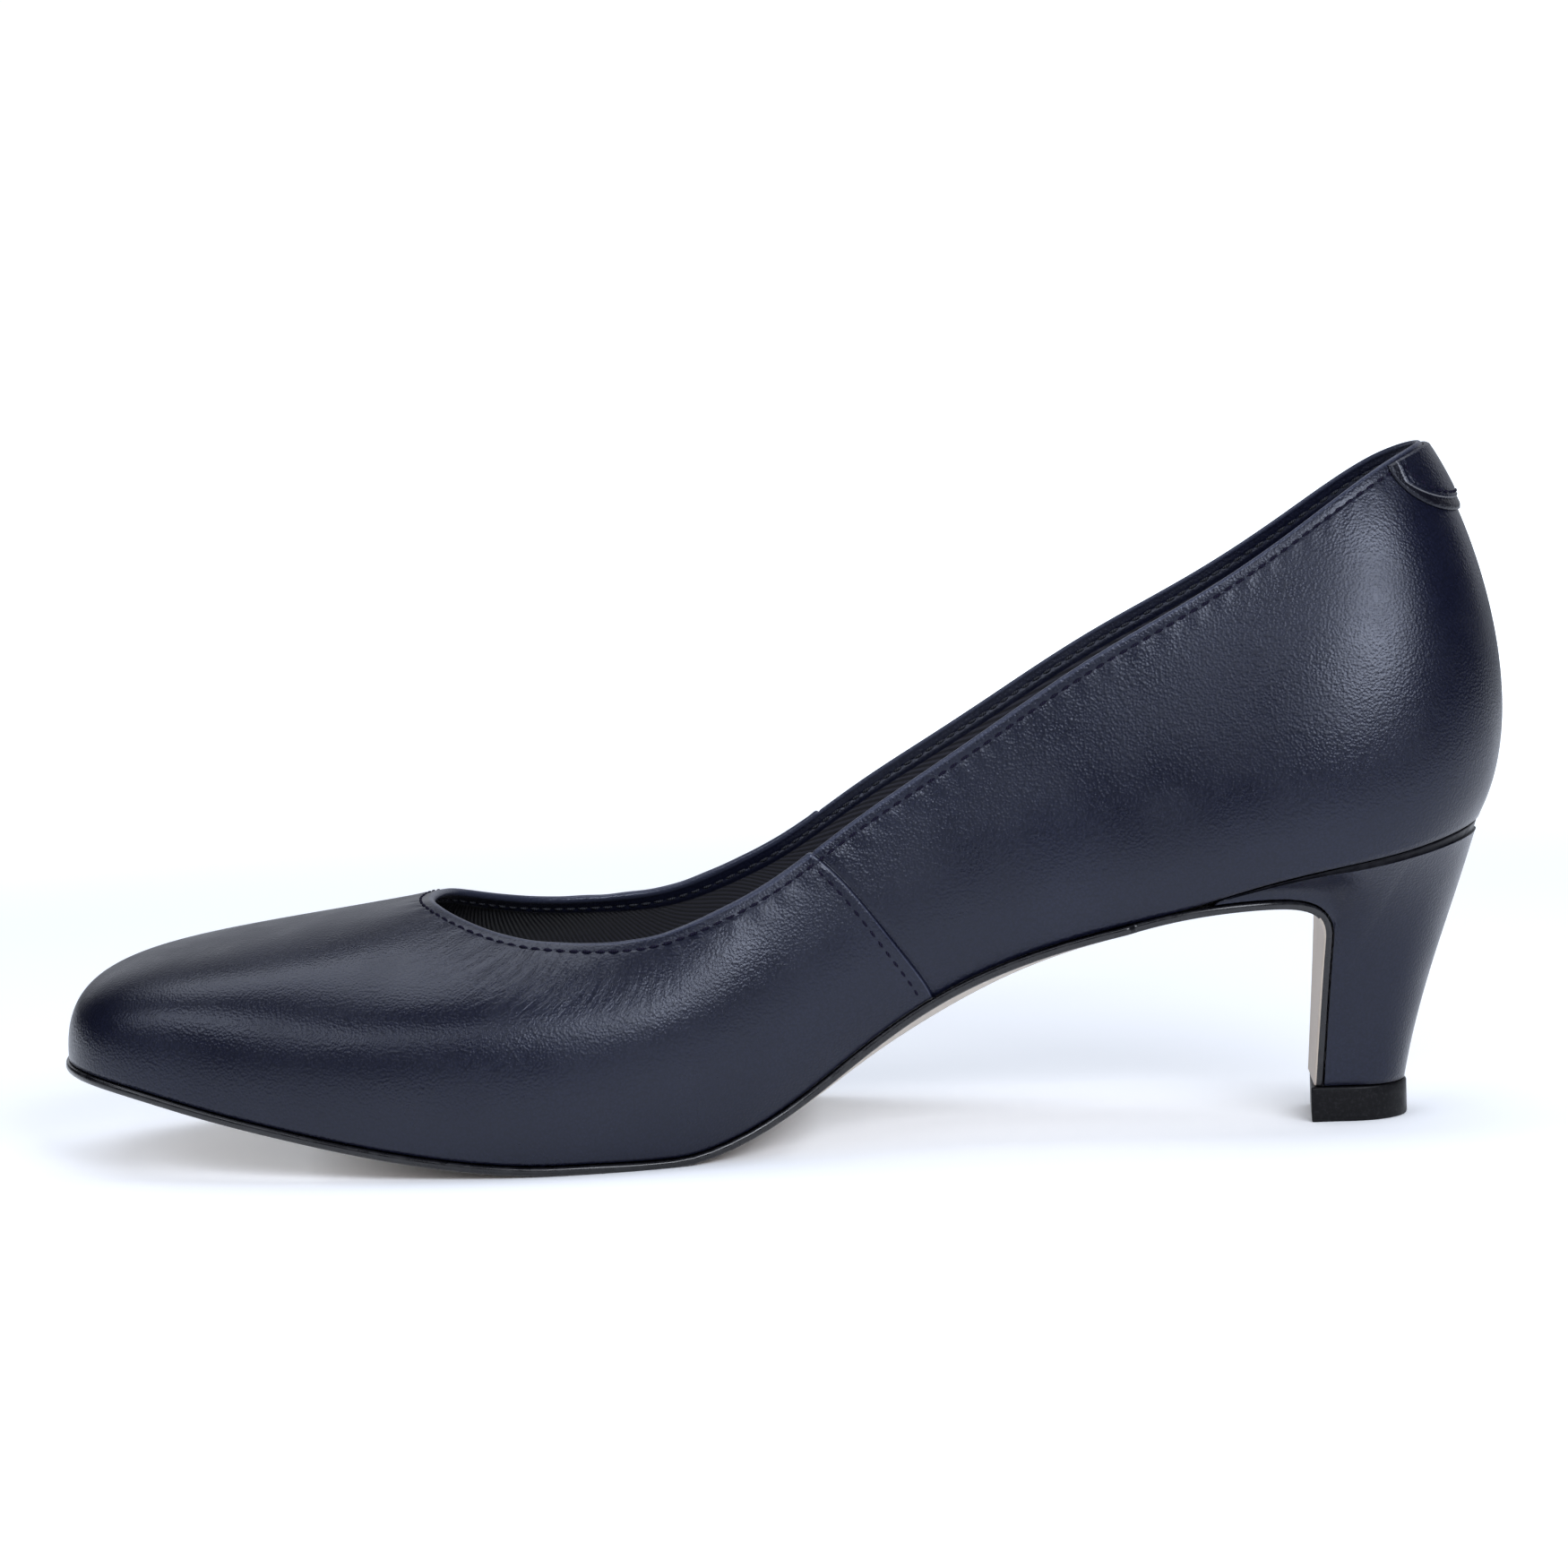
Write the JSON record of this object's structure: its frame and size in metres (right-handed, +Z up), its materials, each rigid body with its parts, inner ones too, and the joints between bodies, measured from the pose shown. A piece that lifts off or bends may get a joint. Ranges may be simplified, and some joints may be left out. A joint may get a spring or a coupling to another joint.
{
  "type": "round toe pump",
  "caption": "Women's leather pump for the right foot, with a round toe, a low-cut collar, a back tab and a slim covered heel with a top lift.",
  "frame": {"origin": "centre of the bounding box in plan, on the floor plane", "axes": "+X from the toe to the heel, +Y to the outer side of the foot, +Z up"},
  "size_m": [0.2394, 0.0814, 0.1117],
  "materials": {
    "navy_leather": "smooth calf leather with a fine grain and a soft gloss",
    "heel_leather": "the same leather drawn round the heel block",
    "tab_leather": "the same leather with a raw lower edge",
    "lining": "matt dark sock lining",
    "sole": "satin beige tread with a dark dressed edge",
    "lift": "hard black satin rubber"
  },
  "bodies": {
    "root": {"upper": "navy_leather", "insole": "lining", "outsole": "sole", "heel": "heel_leather", "top_lift": "lift", "back_tab": "tab_leather"}
  },
  "joints": []
}
